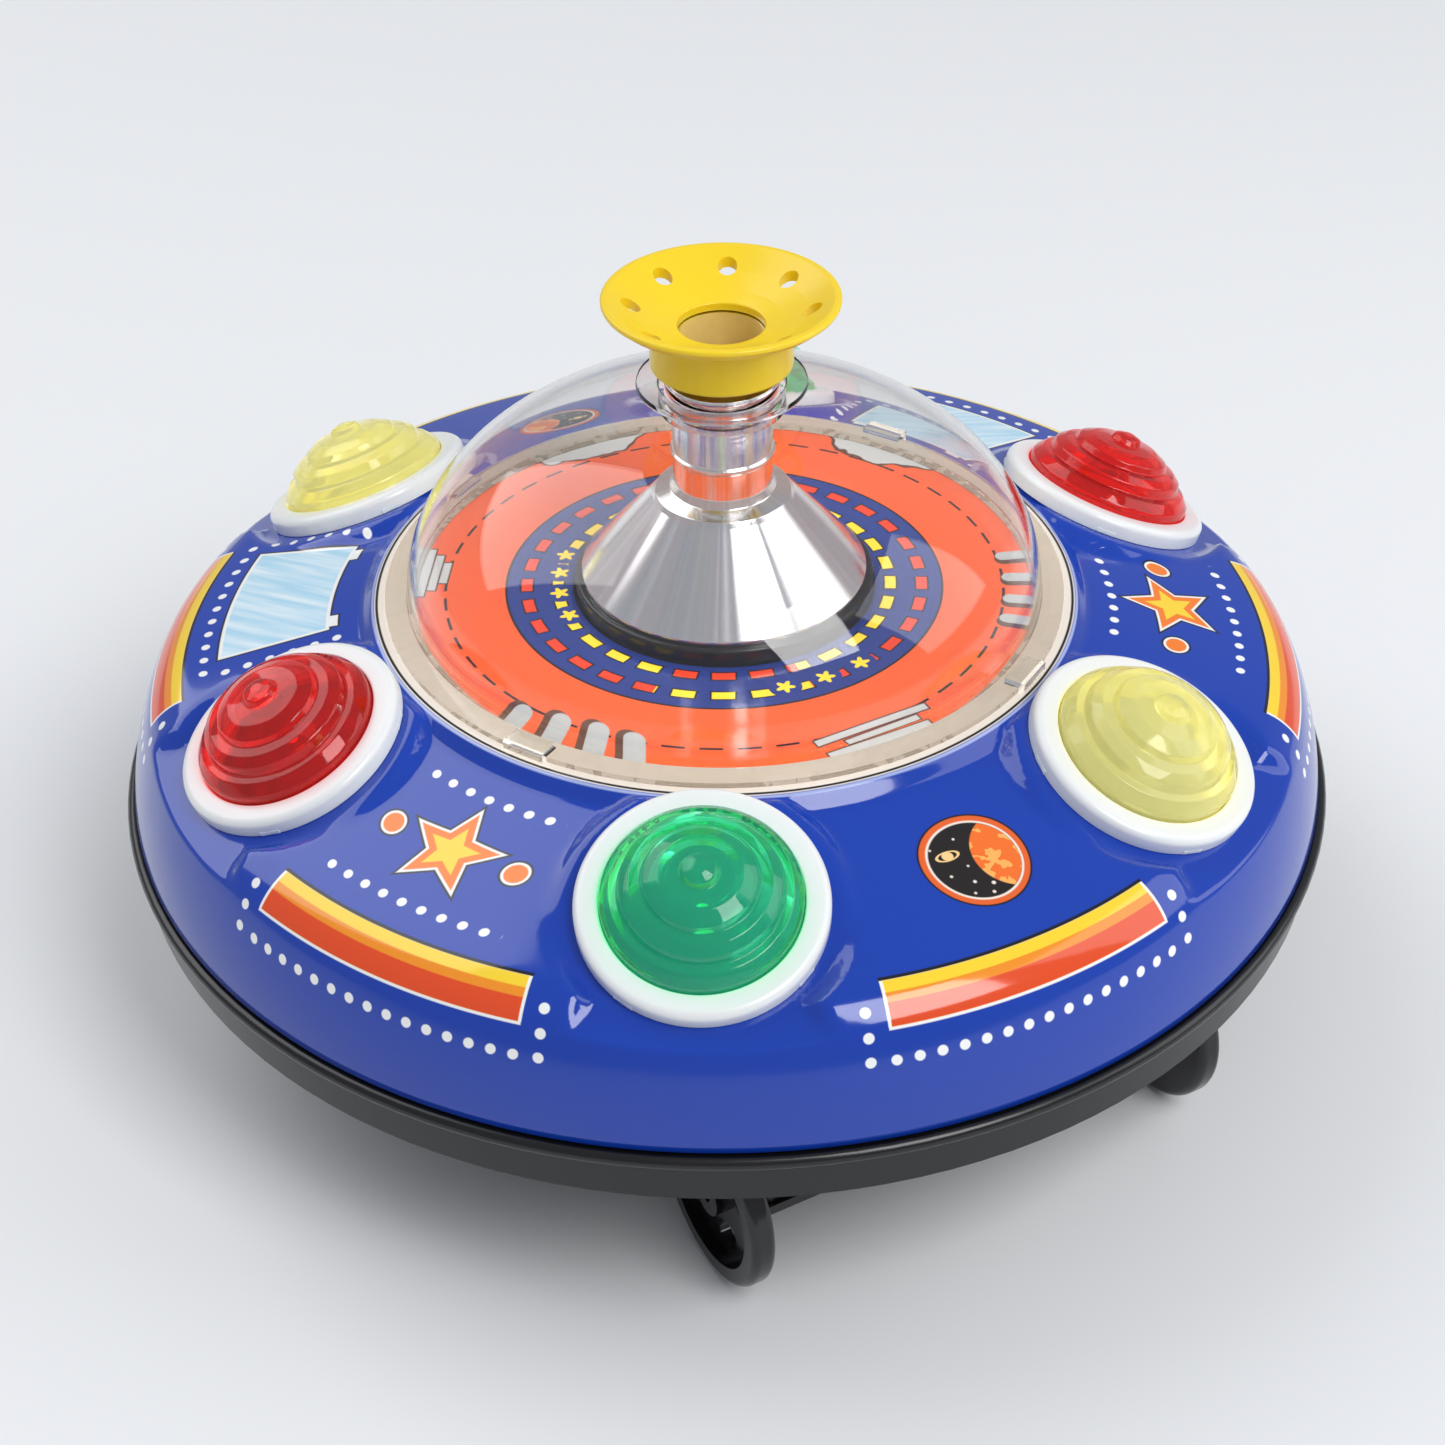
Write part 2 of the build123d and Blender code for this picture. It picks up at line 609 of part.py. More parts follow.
with BuildPart() as gear_plate_screws:
    with BuildSketch(level(40.6)):
        with Locations(*POSTS):
            Circle(1.0)
    extrude(amount=5.8)
    with BuildSketch(level(46.4)):
        with Locations(*POSTS):
            Circle(2.2)
    extrude(amount=1.3)
save(gear_plate_screws.part, "gear_plate_screws")

# ---------------------------------------------------------------- motor and fan
MOTOR_Z = 42.2
MOTOR_H = 19.0
with BuildPart() as motor:
    with BuildSketch(level(MOTOR_Z)):
        Circle(MOTOR_R)
        Circle(SHAFT_R + FIT, mode=Mode.SUBTRACT)
    extrude(amount=MOTOR_H)
    chamfer(motor.edges().filter_by(GeomType.CIRCLE).group_by(SortBy.RADIUS)[-1], 1.0)
save(motor.part, "motor")

with BuildPart() as motor_cradle:
    with BuildSketch(level(MOTOR_Z - 1.2)):
        Circle(13.4)
        Circle(4.2, mode=Mode.SUBTRACT)
    extrude(amount=1.2)
    with BuildSketch(level(MOTOR_Z)):
        Circle(13.4)
        Circle(MOTOR_R, mode=Mode.SUBTRACT)
    extrude(amount=7)
    with BuildSketch(level(FLOOR_TOP)):
        with Locations((-12, 0), (10.4, -6), (-6, -10.4)):
            Circle(1.5)
    extrude(amount=MOTOR_Z - 1.2 - FLOOR_TOP)
save(motor_cradle.part, "motor_cradle")

with BuildPart() as motor_shaft:
    with BuildSketch(level(36.6)):
        Circle(SHAFT_R)
    extrude(amount=32.2)
save(motor_shaft.part, "motor_shaft")

with BuildPart() as motor_pinion:
    add(spur_gear(level(37.5), PINION_TEETH, 2.9, to_counter))
    with BuildSketch(level(37)):
        Circle(SHAFT_R)
    extrude(amount=4, mode=Mode.SUBTRACT)
save(motor_pinion.part, "motor_pinion")

FAN_R = 19.4
FAN_BLADES = 8
with BuildPart() as fan:
    with BuildSketch(level(62.0)):
        Circle(4.2)
    extrude(amount=6.6)
    with PolarLocations(0, FAN_BLADES):
        with Locations(Location(((FAN_R + 3.8) / 2, 0, 65.4), (32, 0, 0))):
            Box(FAN_R - 3.8, 8.6, 1.0)
    with BuildSketch(level(61)):
        Circle(SHAFT_R)
    extrude(amount=9, mode=Mode.SUBTRACT)
save(fan.part, "fan")

# ---------------------------------------------------------------- deck frame with the fan duct, screws
FRAME_Z = DECK_Z - TIN - 2.0
SHROUD_Z = 60.2
with BuildPart() as deck_frame:
    with BuildSketch(level(FRAME_Z)):
        Circle(54.0)
        Circle(DECK_HOLE_R, mode=Mode.SUBTRACT)
    extrude(amount=DECK_Z - TIN - FRAME_Z)
    with BuildSketch(level(SHROUD_Z)):
        Circle(DECK_HOLE_R + 1.4)
        Circle(DECK_HOLE_R, mode=Mode.SUBTRACT)
    extrude(amount=FRAME_Z - SHROUD_Z)
    with BuildSketch(level(FLOOR_TOP)):
        with Locations(*COLUMNS):
            Circle(3.6)
    extrude(amount=FRAME_Z - FLOOR_TOP)
    with BuildSketch(level(FLOOR_TOP)):
        with Locations(*COLUMNS):
            Circle(1.5)
    extrude(amount=12, mode=Mode.SUBTRACT)
save(deck_frame.part, "deck_frame")

with BuildPart() as base_screws:
    with BuildSketch(level(FLOOR_Z - 1.3)):
        with Locations(*COLUMNS):
            Circle(3.0)
    extrude(amount=1.3)
    with BuildSketch(level(FLOOR_Z)):
        with Locations(*COLUMNS):
            Circle(1.5)
    extrude(amount=12)
save(base_screws.part, "base_screws")

# ---------------------------------------------------------------- switch
SWITCH_X = -60
SWITCH_Y = 8
with BuildPart() as switch_case:
    with BuildSketch(level(FLOOR_TOP, SWITCH_X, SWITCH_Y)):
        Rectangle(14, 22)
    extrude(amount=7)
    with BuildSketch(level(FLOOR_TOP, SWITCH_X, SWITCH_Y)):
        Rectangle(11, 19)
    extrude(amount=5.6, mode=Mode.SUBTRACT)
save(switch_case.part, "switch_case")

with BuildPart() as switch_knob:
    with BuildSketch(level(30.6, SWITCH_X, SWITCH_Y - 2.5)):
        RectangleRounded(7, 9, 1)
    extrude(amount=2.4)
    with BuildSketch(level(33.0, SWITCH_X, SWITCH_Y - 2.5)):
        Rectangle(3.6, 5.4)
    extrude(amount=2.6)
    with BuildSketch(level(35.6, SWITCH_X, SWITCH_Y - 2.5)):
        Rectangle(8, 10)
    extrude(amount=2.0)
save(switch_knob.part, "switch_knob")
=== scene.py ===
"""Battery-driven tin flying saucer, as it looks: one section per piece, from the shell to the table."""

import json
import math

import bpy
import numpy as np
from mathutils import Matrix, Vector


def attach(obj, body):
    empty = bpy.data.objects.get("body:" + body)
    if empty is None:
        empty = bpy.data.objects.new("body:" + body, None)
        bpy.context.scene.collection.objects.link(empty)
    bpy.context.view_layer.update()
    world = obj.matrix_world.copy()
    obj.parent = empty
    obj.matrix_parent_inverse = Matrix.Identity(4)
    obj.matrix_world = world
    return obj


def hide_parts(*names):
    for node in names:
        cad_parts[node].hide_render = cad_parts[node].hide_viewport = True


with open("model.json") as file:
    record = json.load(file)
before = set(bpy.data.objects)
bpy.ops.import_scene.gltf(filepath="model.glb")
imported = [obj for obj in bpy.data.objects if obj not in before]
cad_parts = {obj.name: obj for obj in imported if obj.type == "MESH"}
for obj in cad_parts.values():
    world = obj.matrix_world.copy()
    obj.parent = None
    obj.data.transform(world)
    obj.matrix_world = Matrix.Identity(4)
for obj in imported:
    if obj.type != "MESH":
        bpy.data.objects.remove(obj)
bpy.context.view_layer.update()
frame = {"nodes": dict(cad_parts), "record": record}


# ------------------------------------------------------------------ tin shell
# Pressed from one disc of tinplate, drawn here 0.5 mm thick, and printed flat before pressing.
# The flat deck, the sloping panels and the rolled shoulder are one skin; six lamp pads are struck
# into it, proud of the panel on the inner side and sunk into the shoulder on the outer side.
EDGE_Z = 40.9
LAMPS = 6
LAMP_TILT = math.radians(22.5)


def tangent_arc(start, heading, end, count):
    """Points after start along the arc that leaves start along heading and reaches end."""
    p, q = np.array(start), np.array(end)
    d = np.array(heading) / math.hypot(*heading)
    side = np.array([d[1], -d[0]])
    chord = q - p
    radius = chord.dot(chord) / (2 * chord.dot(side))
    centre = p + side * radius
    first = math.atan2(*(p - centre)[::-1])
    last = math.atan2(*(q - centre)[::-1])
    angles = np.linspace(first, last, count + 1)[1:]
    points = [centre + radius * np.array([math.cos(a), math.sin(a)]) for a in angles]
    return points, (math.sin(last), -math.cos(last))


panel_end = (86.5, EDGE_Z + 20.2)
bend, heading = tangent_arc(panel_end, (28.2, -6.8), (93.6, EDGE_Z + 14.3), 24)
flank, heading = tangent_arc((93.6, EDGE_Z + 14.3), heading, (97.5, EDGE_Z), 24)
outline = np.array([(20.4, 70.2), (56.2, 70.2), (58.3, EDGE_Z + 27.0), panel_end, *bend, *flank])
run = np.concatenate([[0], np.cumsum(np.hypot(*np.diff(outline, axis=0).T))])
run -= run[1]
stations = np.concatenate([
    [run[0], -30, -20, -10, -4],
    np.arange(-1.6, 5, 0.34),
    np.arange(5, 42, 0.62),
    np.linspace(42, run[-1], 13),
])
softening = np.linspace(-0.7, 0.7, 9)
inside = (stations > -30) & (stations < 50)
ring_r = np.interp(stations, run, outline[:, 0])
ring_z = np.interp(stations, run, outline[:, 1])
for values, column in ((ring_r, 0), (ring_z, 1)):
    near = np.mean([np.interp(stations + shift, run, outline[:, column]) for shift in softening], axis=0)
    values[inside] = near[inside]


def ramp(x, low, high):
    """Smooth rise from 0 at low to 1 at high."""
    t = np.clip((x - low) / (high - low), 0, 1)
    return t * t * (3 - 2 * t)


SEGMENTS = 480
around = np.linspace(0, 2 * math.pi, SEGMENTS, endpoint=False)
skin = np.stack([
    np.outer(ring_r, np.sin(around)),
    -np.outer(ring_r, np.cos(around)),
    np.outer(ring_z, np.ones(SEGMENTS)),
], axis=-1).reshape(-1, 3)
clear_of_deck = ramp(np.hypot(skin[:, 0], skin[:, 1]), 56.2, 57.6)


def lamp_frame(index):
    """Seat centre in mm, and the lamp's x, y and axis; minus y runs down the slope."""
    turn = index * 2 * math.pi / LAMPS
    outward = np.array([math.sin(turn), -math.cos(turn), 0])
    up = outward * math.sin(LAMP_TILT) + np.array([0, 0, math.cos(LAMP_TILT)])
    x = np.array([math.cos(turn), math.sin(turn), 0])
    return outward * 73.34 + np.array([0, 0, 63.9]), x, np.cross(up, x), up


for lamp in range(LAMPS):
    seat, x, y, up = lamp_frame(lamp)
    rel = skin - seat
    u, v, w = rel @ x, rel @ y, rel @ up
    from_axis = np.hypot(u, v)
    pad = 1 - ramp(from_axis, 19.7, 22.3)
    mouth = 14.0 + 0.55 * np.clip(-v - 14, 0, None)
    gate = (1 - ramp(np.abs(u), mouth, mouth + 2.6)) * ramp(-v, 10, 13) * (w > 0) * (from_axis < 34)
    strike = np.maximum(pad, gate) * clear_of_deck
    strike[from_axis > 40] = 0
    skin -= np.outer(w * strike, up)

rings = len(stations)
quads = []
for ring in range(rings - 1):
    for seg in range(SEGMENTS):
        nxt = (seg + 1) % SEGMENTS
        quads.append((
            ring * SEGMENTS + seg, (ring + 1) * SEGMENTS + seg,
            (ring + 1) * SEGMENTS + nxt, ring * SEGMENTS + nxt,
        ))
mesh = bpy.data.meshes.new("shell_skin")
mesh.from_pydata((skin / 1000).tolist(), [], quads)
arc = mesh.attributes.new("arc", "FLOAT", "POINT")
arc.data.foreach_set("value", np.repeat(stations, SEGMENTS).astype(np.float32))
shell = bpy.data.objects.new("shell_skin", mesh)
bpy.context.scene.collection.objects.link(shell)


def pick(obj):
    """Make obj the only selected and the active object."""
    bpy.ops.object.select_all(action="DESELECT")
    obj.select_set(True)
    bpy.context.view_layer.objects.active = obj


pick(shell)
bpy.ops.object.mode_set(mode="EDIT")
bpy.ops.mesh.select_all(action="SELECT")
bpy.ops.mesh.normals_make_consistent(inside=False)
bpy.ops.object.mode_set(mode="OBJECT")
bpy.ops.object.shade_smooth()
thick = shell.modifiers.new("thick", "SOLIDIFY")
thick.thickness = 0.0005
thick.offset = -1
bpy.ops.object.modifier_apply(modifier="thick")


class Paint:
    """Shorthand for building shader nodes: every call adds a node and returns its output."""

    def __init__(self, tree):
        self.tree = tree

    def node(self, kind, **settings):
        made = self.tree.nodes.new(kind)
        for key, value in settings.items():
            setattr(made, key, value)
        return made

    def put(self, socket, value):
        """Link value into socket when it is an output, or set it when it is a constant."""
        if isinstance(value, bpy.types.NodeSocket):
            self.tree.links.new(value, socket)
        else:
            socket.default_value = value

    def math(self, operation, *values):
        made = self.node("ShaderNodeMath", operation=operation)
        for socket, value in zip(made.inputs, values):
            self.put(socket, value)
        return made.outputs[0]

    def add(self, a, b):
        return self.math("ADD", a, b)

    def sub(self, a, b):
        return self.math("SUBTRACT", a, b)

    def mul(self, a, b):
        return self.math("MULTIPLY", a, b)

    def least(self, *values):
        result = values[0]
        for value in values[1:]:
            result = self.math("MINIMUM", result, value)
        return result

    def most(self, *values):
        result = values[0]
        for value in values[1:]:
            result = self.math("MAXIMUM", result, value)
        return result

    def gap(self, x, low, high):
        """Signed distance to the band from low to high: negative inside."""
        half = (high - low) / 2
        return self.sub(self.math("ABSOLUTE", self.sub(x, low + half)), half)

    def inked(self, distance, soft=0.09):
        """1 where distance is negative, 0 where it is positive, soft at the border."""
        edge = self.math("MULTIPLY_ADD", distance, -0.5 / soft, 0.5)
        return self.math("MAXIMUM", self.math("MINIMUM", edge, 1.0), 0.0)

    def spot(self, x, y, cx, cy, radius):
        """Signed distance to a disc."""
        return self.sub(self.length(self.sub(x, cx), self.sub(y, cy)), radius)

    def length(self, x, y):
        return self.math("SQRT", self.add(self.mul(x, x), self.mul(y, y)))

    def repeat(self, x, step):
        """x folded into cells of width step, 0 in the middle of each."""
        return self.sub(x, self.mul(self.math("ROUND", self.math("DIVIDE", x, step)), step))

    def mix(self, factor, base, ink):
        made = self.node("ShaderNodeMix", data_type="RGBA", clamp_factor=True)
        self.put(made.inputs[0], factor)
        self.put(made.inputs[6], base)
        self.put(made.inputs[7], ink)
        return made.outputs[2]


def group(name, outputs):
    """Empty node group with the given outputs, and the Paint that fills it."""
    tree = bpy.data.node_groups.new(name, "ShaderNodeTree")
    for label, kind in outputs:
        tree.interface.new_socket(label, in_out="OUTPUT", socket_type=kind)
    return tree, Paint(tree)


def close(tree, paint, values):
    """Wire the values to the group's outputs."""
    out = paint.node("NodeGroupOutput")
    for socket, value in zip(out.inputs, values):
        paint.put(socket, value)


litho, ink = group("litho_print", [("Color", "NodeSocketColor"), ("Roughness", "NodeSocketFloat")])
where = ink.node("ShaderNodeTexCoord").outputs["Object"]
split = ink.node("ShaderNodeSeparateXYZ")
ink.put(split.inputs[0], where)
px = ink.mul(split.outputs[0], 1000)
py = ink.mul(split.outputs[1], 1000)
radius = ink.length(px, py)
azimuth = ink.mul(ink.math("ARCTAN2", px, ink.mul(py, -1)), 180 / math.pi)
station = ink.node("ShaderNodeAttribute", attribute_name="arc", attribute_type="GEOMETRY").outputs["Fac"]

ROYAL = (0.003, 0.042, 0.380, 1)
BLACK = (0.006, 0.006, 0.008, 1)
WHITE = (0.86, 0.87, 0.86, 1)
YELLOW = (0.90, 0.62, 0.03, 1)
ORANGE = (0.86, 0.20, 0.015, 1)
RED = (0.70, 0.045, 0.012, 1)
CREAM = (0.82, 0.74, 0.65, 1)
GREY = (0.42, 0.42, 0.41, 1)
BROWN = (0.10, 0.035, 0.015, 1)
STONE = (0.50, 0.49, 0.47, 1)
SKY = (0.42, 0.68, 0.84, 1)
PLANET = (0.85, 0.16, 0.02, 1)
NIGHT = (0.012, 0.008, 0.008, 1)
paint = ROYAL

# bars and rows of dots, the same in all six sectors
folded = ink.repeat(ink.sub(azimuth, 30.6), 60)
to_mm = ink.mul(radius, math.pi / 180)
across = ink.mul(folded, to_mm)
bar = ink.most(ink.gap(station, 33.1, 39.6), ink.mul(ink.gap(folded, -14.1, 14.1), to_mm))
paint = ink.mix(ink.inked(ink.sub(ink.most(bar, ink.sub(station, 36)), 0.55)), paint, BLACK)
paint = ink.mix(ink.inked(ink.sub(ink.most(bar, ink.sub(36, station)), 0.45)), paint, WHITE)
ends = ink.most(ink.gap(station, 33.1, 39.6), ink.mul(ink.gap(folded, -14.4, 14.4), to_mm))
paint = ink.mix(ink.inked(ends), paint, WHITE)
paint = ink.mix(ink.inked(bar), paint, YELLOW)
paint = ink.mix(ink.inked(ink.most(bar, ink.sub(34.9, station))), paint, (0.84, 0.27, 0.015, 1))
paint = ink.mix(ink.inked(ink.most(bar, ink.sub(36.3, station))), paint, (0.74, 0.070, 0.012, 1))


def dots(x_step, x, y, size=0.78):
    """Row of dots along x, cells of x_step, centred on y = 0."""
    cell = ink.repeat(x, x_step)
    return ink.sub(ink.length(cell, y), size)


row = ink.most(dots(3.3, across, ink.sub(station, 44.4)), ink.sub(ink.math("ABSOLUTE", folded), 15.3))
end_x = ink.sub(ink.math("ABSOLUTE", across), ink.mul(to_mm, 16.2))
column = ink.most(dots(3.5, ink.sub(station, 40.7), end_x), ink.gap(station, 35.5, 46))
paint = ink.mix(ink.inked(ink.least(row, column)), paint, WHITE)


def local(centre, wide=29):
    """Sideways distance in mm from a sector's middle line, and a mask for that sector."""
    turned = ink.sub(azimuth, centre)
    wrapped = ink.repeat(turned, 360)
    return ink.mul(wrapped, to_mm), ink.sub(ink.math("ABSOLUTE", wrapped), wide)


# star panels: a plain five-pointed star with a disc on each side of it, between two rows of dots
STAR_TIP = 7.4
STAR_NOTCH = 3.3
notch_x = STAR_NOTCH * math.cos(math.pi / 5)
notch_y = STAR_NOTCH * math.sin(math.pi / 5)
edge_size = math.hypot(STAR_TIP - notch_x, notch_y)
for centre in (-30.3, 92.4):
    side, sector = local(centre)
    rise = ink.sub(17.6, station)
    reach = ink.length(side, rise)
    lean = ink.repeat(ink.math("ARCTAN2", side, rise), math.pi * 0.4)
    along = ink.sub(ink.mul(reach, ink.math("COSINE", lean)), STAR_TIP)
    off = ink.math("ABSOLUTE", ink.mul(reach, ink.math("SINE", lean)))
    star = ink.add(ink.mul(along, notch_y / edge_size), ink.mul(off, (STAR_TIP - notch_x) / edge_size))
    disc = ink.spot(ink.math("ABSOLUTE", side), station, 11.0, 17.6, 1.7)
    figures = ink.least(star, disc)
    paint = ink.mix(ink.inked(ink.most(ink.sub(figures, 0.75), sector)), paint, BLACK)
    paint = ink.mix(ink.inked(ink.most(ink.sub(figures, 0.4), sector)), paint, WHITE)
    paint = ink.mix(ink.inked(ink.most(figures, sector)), paint, ORANGE)
    paint = ink.mix(ink.inked(ink.most(ink.add(star, 1.1), sector)), paint, YELLOW)
    for level, low, high in ((7.4, -12.2, 12.6), (28.2, -16.2, 15.6)):
        line = dots(3.45, ink.sub(side, low + 1.5), ink.sub(station, level), 0.74)
        line = ink.most(line, ink.gap(side, low, high), sector)
        paint = ink.mix(ink.inked(line), paint, WHITE)

# round pictures: a dark sky with a ringed planet and a large one, in a ring
for centre in (31.6, -152.0):
    side, sector = local(centre)
    rim = ink.spot(side, station, 0, 18.1, 8.0)
    paint = ink.mix(ink.inked(ink.sub(rim, 0.3)), paint, BLACK)
    paint = ink.mix(ink.inked(rim), paint, (0.75, 0.12, 0.02, 1))
    paint = ink.mix(ink.inked(ink.add(rim, 0.9)), paint, CREAM)
    paint = ink.mix(ink.inked(ink.add(rim, 1.25)), paint, NIGHT)
    sky = ink.add(rim, 1.3)
    planet = ink.most(ink.spot(side, station, 6.4, 18.6, 6.6), sky)
    bands = ink.node("ShaderNodeTexNoise", noise_dimensions="3D")
    bands.inputs["Scale"].default_value = 380
    ink.put(bands.inputs["Vector"], where)
    surface = ink.mix(ink.math("GREATER_THAN", bands.outputs[0], 0.52), PLANET, (0.90, 0.42, 0.10, 1))
    paint = ink.mix(ink.inked(planet), paint, surface)
    small = ink.spot(side, station, -3.4, 16.0, 0.85)
    loop = ink.math("ABSOLUTE", ink.spot(side, ink.mul(ink.sub(station, 16.0), 2.2), -3.4, 0.0, 1.7))
    paint = ink.mix(ink.inked(ink.least(small, ink.sub(loop, 0.22))), paint, (0.88, 0.60, 0.25, 1))
    for sx, sy, size in ((-4.8, 19.4, 0.22), (-2.2, 21.4, 0.26), (-1.0, 13.6, 0.2), (0.2, 22.6, 0.3),
                         (-5.2, 14.2, 0.18), (-1.6, 18.6, 0.18), (-3.2, 23.2, 0.2), (-0.6, 24.0, 0.25)):
        paint = ink.mix(ink.inked(ink.spot(side, station, sx, sy, size)), paint, CREAM)

# windows: pale glass with streaks, a white and black border, two tabs and dots on three sides
for centre in (-91.4, 150.0):
    side, sector = local(centre)
    turned = ink.repeat(ink.sub(azimuth, centre), 360)
    wide = ink.mul(ink.gap(turned, -10.9, 10.4), to_mm)
    pane = ink.most(ink.gap(station, 9.0, 26.4), wide)
    tab_side = ink.math("ABSOLUTE", ink.sub(ink.math("ABSOLUTE", side), 9.8))
    tabs = ink.most(ink.gap(station, 7.0, 9.2), ink.sub(tab_side, 1.5))
    frame_edge = ink.least(ink.sub(pane, 0.6), tabs)
    paint = ink.mix(ink.inked(ink.most(ink.sub(frame_edge, 0.35), sector)), paint, BLACK)
    paint = ink.mix(ink.inked(ink.most(frame_edge, sector)), paint, WHITE)
    streak = ink.node("ShaderNodeTexNoise", noise_dimensions="2D")
    lay = ink.node("ShaderNodeCombineXYZ")
    ink.put(lay.inputs[0], ink.mul(ink.add(side, ink.mul(station, 0.6)), 0.9))
    ink.put(lay.inputs[1], ink.mul(ink.sub(station, side), 0.06))
    ink.put(streak.inputs["Vector"], lay.outputs[0])
    streak.inputs["Scale"].default_value = 0.55
    tone = ink.math("MULTIPLY_ADD", streak.outputs[0], 2.4, -0.8)
    glass = ink.mix(tone, SKY, (0.72, 0.85, 0.92, 1))
    paint = ink.mix(ink.inked(ink.most(pane, sector)), paint, glass)
    line = ink.most(dots(3.7, side, ink.sub(station, 29.4), 0.74), ink.gap(turned, -14.0, 14.0))
    paint = ink.mix(ink.inked(line), paint, WHITE)
    edge = ink.sub(ink.math("ABSOLUTE", side), ink.mul(to_mm, 13.6))
    line = ink.most(dots(3.7, ink.sub(station, 7.2), edge, 0.74), ink.gap(station, 6.0, 27.5), sector)
    paint = ink.mix(ink.inked(line), paint, WHITE)

# deck: cream border, orange ground with a dashed line, a blue middle with two dashed tracks
deck = (0.74, 0.092, 0.018, 1)
grain = ink.node("ShaderNodeTexNoise")
grain.inputs["Scale"].default_value = 60
ink.put(grain.inputs["Vector"], where)
deck = ink.mix(ink.mul(grain.outputs[0], 0.35), deck, (0.78, 0.12, 0.024, 1))
dash = ink.most(ink.sub(ink.math("ABSOLUTE", ink.sub(radius, 44.7)), 0.24),
                ink.sub(ink.math("ABSOLUTE", ink.mul(ink.repeat(azimuth, 7.2), to_mm)), 1.75))
deck = ink.mix(ink.inked(dash), deck, BLACK)


def place(az, at):
    """Coordinates along and across the radius through azimuth az, from radius at."""
    a = math.radians(az)
    out = ink.add(ink.mul(px, math.sin(a)), ink.mul(py, -math.cos(a)))
    sideways = ink.add(ink.mul(px, math.cos(a)), ink.mul(py, math.sin(a)))
    return ink.sub(out, at), sideways


def arch(deck, az, at, half=1.75, length=7.5, lean=0.0):
    """Grey block with a rounded inner end and a dark shadow on one side."""
    out, sideways = place(az, at)
    sideways = ink.sub(sideways, ink.mul(out, lean))
    body = ink.least(ink.spot(out, sideways, half, 0, half),
                     ink.most(ink.gap(out, half, length), ink.sub(ink.math("ABSOLUTE", sideways), half)))
    shade_x = ink.add(sideways, 0.9)
    wider = half + 0.35
    shade_side = ink.sub(ink.math("ABSOLUTE", shade_x), wider)
    shade = ink.least(ink.spot(out, shade_x, half, 0, wider),
                      ink.most(ink.gap(out, half, length), shade_side))
    deck = ink.mix(ink.inked(shade), deck, BROWN)
    return ink.mix(ink.inked(body), deck, GREY)


for az, at in ((-38.6, 44.6), (-31.0, 43.0), (-23.2, 42.2), (-15.6, 42.6)):
    deck = arch(deck, az, at, lean=0.35)
for az in (100.5, 92.6, 84.8, 77.8):
    deck = arch(deck, az, 44.6, half=1.2, length=6.5)
for az, at, half, depth in ((31.5, 44.0, 9.5, 1.3), (32.5, 45.9, 6.2, 1.2), (30.5, 47.8, 8.5, 2.0),
                            (-91.0, 44.6, 3.0, 1.4), (-91.0, 46.2, 5.2, 1.4), (-91.0, 47.9, 7.0, 1.9)):
    out, sideways = place(az, at)
    slab = ink.most(ink.gap(out, 0, depth), ink.sub(ink.math("ABSOLUTE", sideways), half))
    deck = ink.mix(ink.inked(ink.sub(slab, 0.3)), deck, BROWN)
    deck = ink.mix(ink.inked(slab), deck, STONE)
for az in (-150, 148):
    out, sideways = place(az, 48.5)
    rough = ink.node("ShaderNodeTexNoise")
    rough.inputs["Scale"].default_value = 140
    ink.put(rough.inputs["Vector"], where)
    lump = ink.add(ink.mul(ink.sub(ink.mul(sideways, sideways), 110), 0.03), ink.mul(out, -1.3))
    lump = ink.add(lump, ink.mul(ink.sub(rough.outputs[0], 0.5), 9))
    lump = ink.most(lump, ink.sub(ink.math("ABSOLUTE", sideways), 15))
    deck = ink.mix(ink.inked(ink.sub(lump, 0.7)), deck, BROWN)
    deck = ink.mix(ink.inked(lump), deck, STONE)

middle = (0.016, 0.034, 0.190, 1)
swap = ink.inked(ink.sub(ink.math("ABSOLUTE", ink.repeat(ink.sub(azimuth, 5), 360)), 22))
outer = ink.most(ink.sub(ink.math("ABSOLUTE", ink.sub(radius, 31.6)), 0.85),
                 ink.sub(ink.math("ABSOLUTE", ink.mul(ink.repeat(ink.sub(azimuth, 2.2), 11.0), to_mm)), 1.75))
inner = ink.most(ink.sub(ink.math("ABSOLUTE", ink.sub(radius, 26.6)), 0.85),
                 ink.sub(ink.math("ABSOLUTE", ink.mul(ink.repeat(ink.sub(azimuth, 2.2), 12.6), to_mm)), 1.75))
tone_out = ink.mix(swap, RED, YELLOW)
tone_in = ink.mix(swap, YELLOW, RED)
edge_ink = ink.sub(ink.least(outer, inner), 0.3)
middle = ink.mix(ink.inked(edge_ink), middle, BLACK)
middle = ink.mix(ink.inked(outer), middle, tone_out)
middle = ink.mix(ink.inked(inner), middle, tone_in)
for az, at in ((19.8, 30.8), (32.1, 31.0), (44.2, 31.2),
               (-104.6, 27.0), (-93.3, 26.6), (-80.5, 26.4), (-66.0, 26.2)):
    out, sideways = place(az, at)
    spread = ink.math("ARCTAN2", sideways, out)
    rays = ink.math("COSINE", ink.mul(spread, 5))
    star = ink.sub(ink.length(out, sideways), ink.math("MULTIPLY_ADD", rays, 0.4, 1.15))
    patch = ink.spot(out, sideways, 0, 0, 2.6)
    middle = ink.mix(ink.inked(patch), middle, (0.016, 0.034, 0.190, 1))
    middle = ink.mix(ink.inked(star), middle, YELLOW)
deck = ink.mix(ink.inked(ink.sub(radius, 35.1)), deck, BLACK)
deck = ink.mix(ink.inked(ink.sub(radius, 34.7)), deck, middle)
deck = ink.mix(ink.inked(ink.sub(24.2, radius)), BLACK, deck)
deck = ink.mix(ink.inked(ink.sub(49.9, radius)), deck, CREAM)
